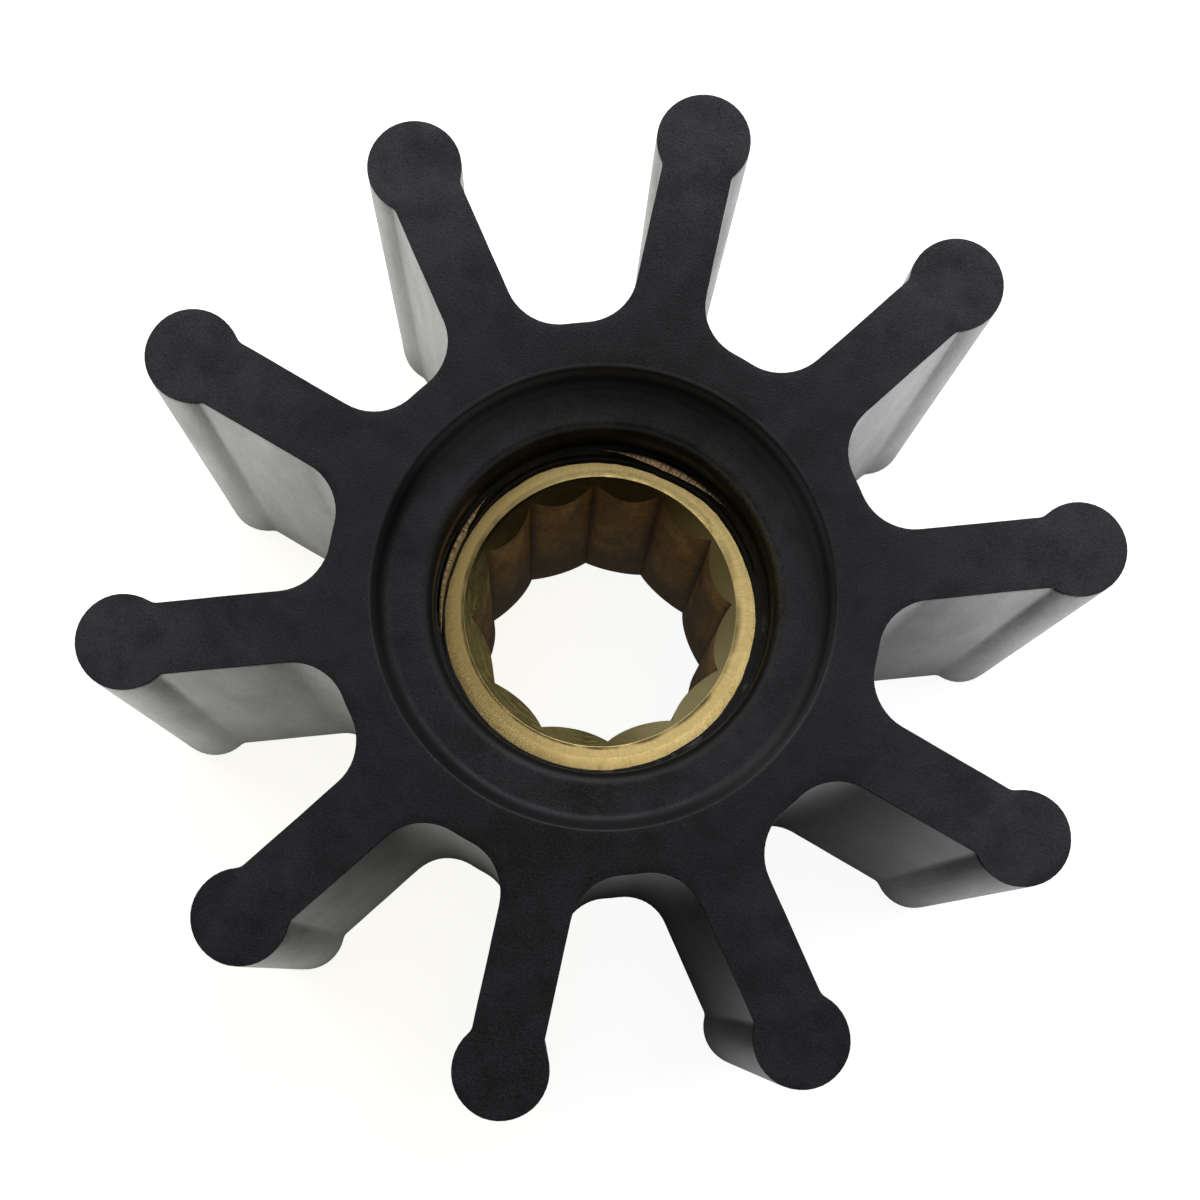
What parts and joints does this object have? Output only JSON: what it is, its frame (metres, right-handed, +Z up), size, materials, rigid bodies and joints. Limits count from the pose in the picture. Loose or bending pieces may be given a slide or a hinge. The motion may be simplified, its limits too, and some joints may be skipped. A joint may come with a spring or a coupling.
{
  "type": "rubber pump impeller",
  "caption": "Flexible marine pump impeller: beaded rubber vanes moulded round a brass insert with a lobed bore.",
  "frame": {"origin": "centre of the lower end face, on the shaft axis", "axes": "+Z up along the shaft axis, +Y along the middle of one vane"},
  "size_m": [0.0622, 0.065, 0.0508],
  "materials": {
    "black_rubber": "moulded, matte",
    "turned_brass": "turned, dull"
  },
  "bodies": {
    "root": {"rubber_impeller": "black_rubber", "brass_insert": "turned_brass"}
  },
  "joints": []
}
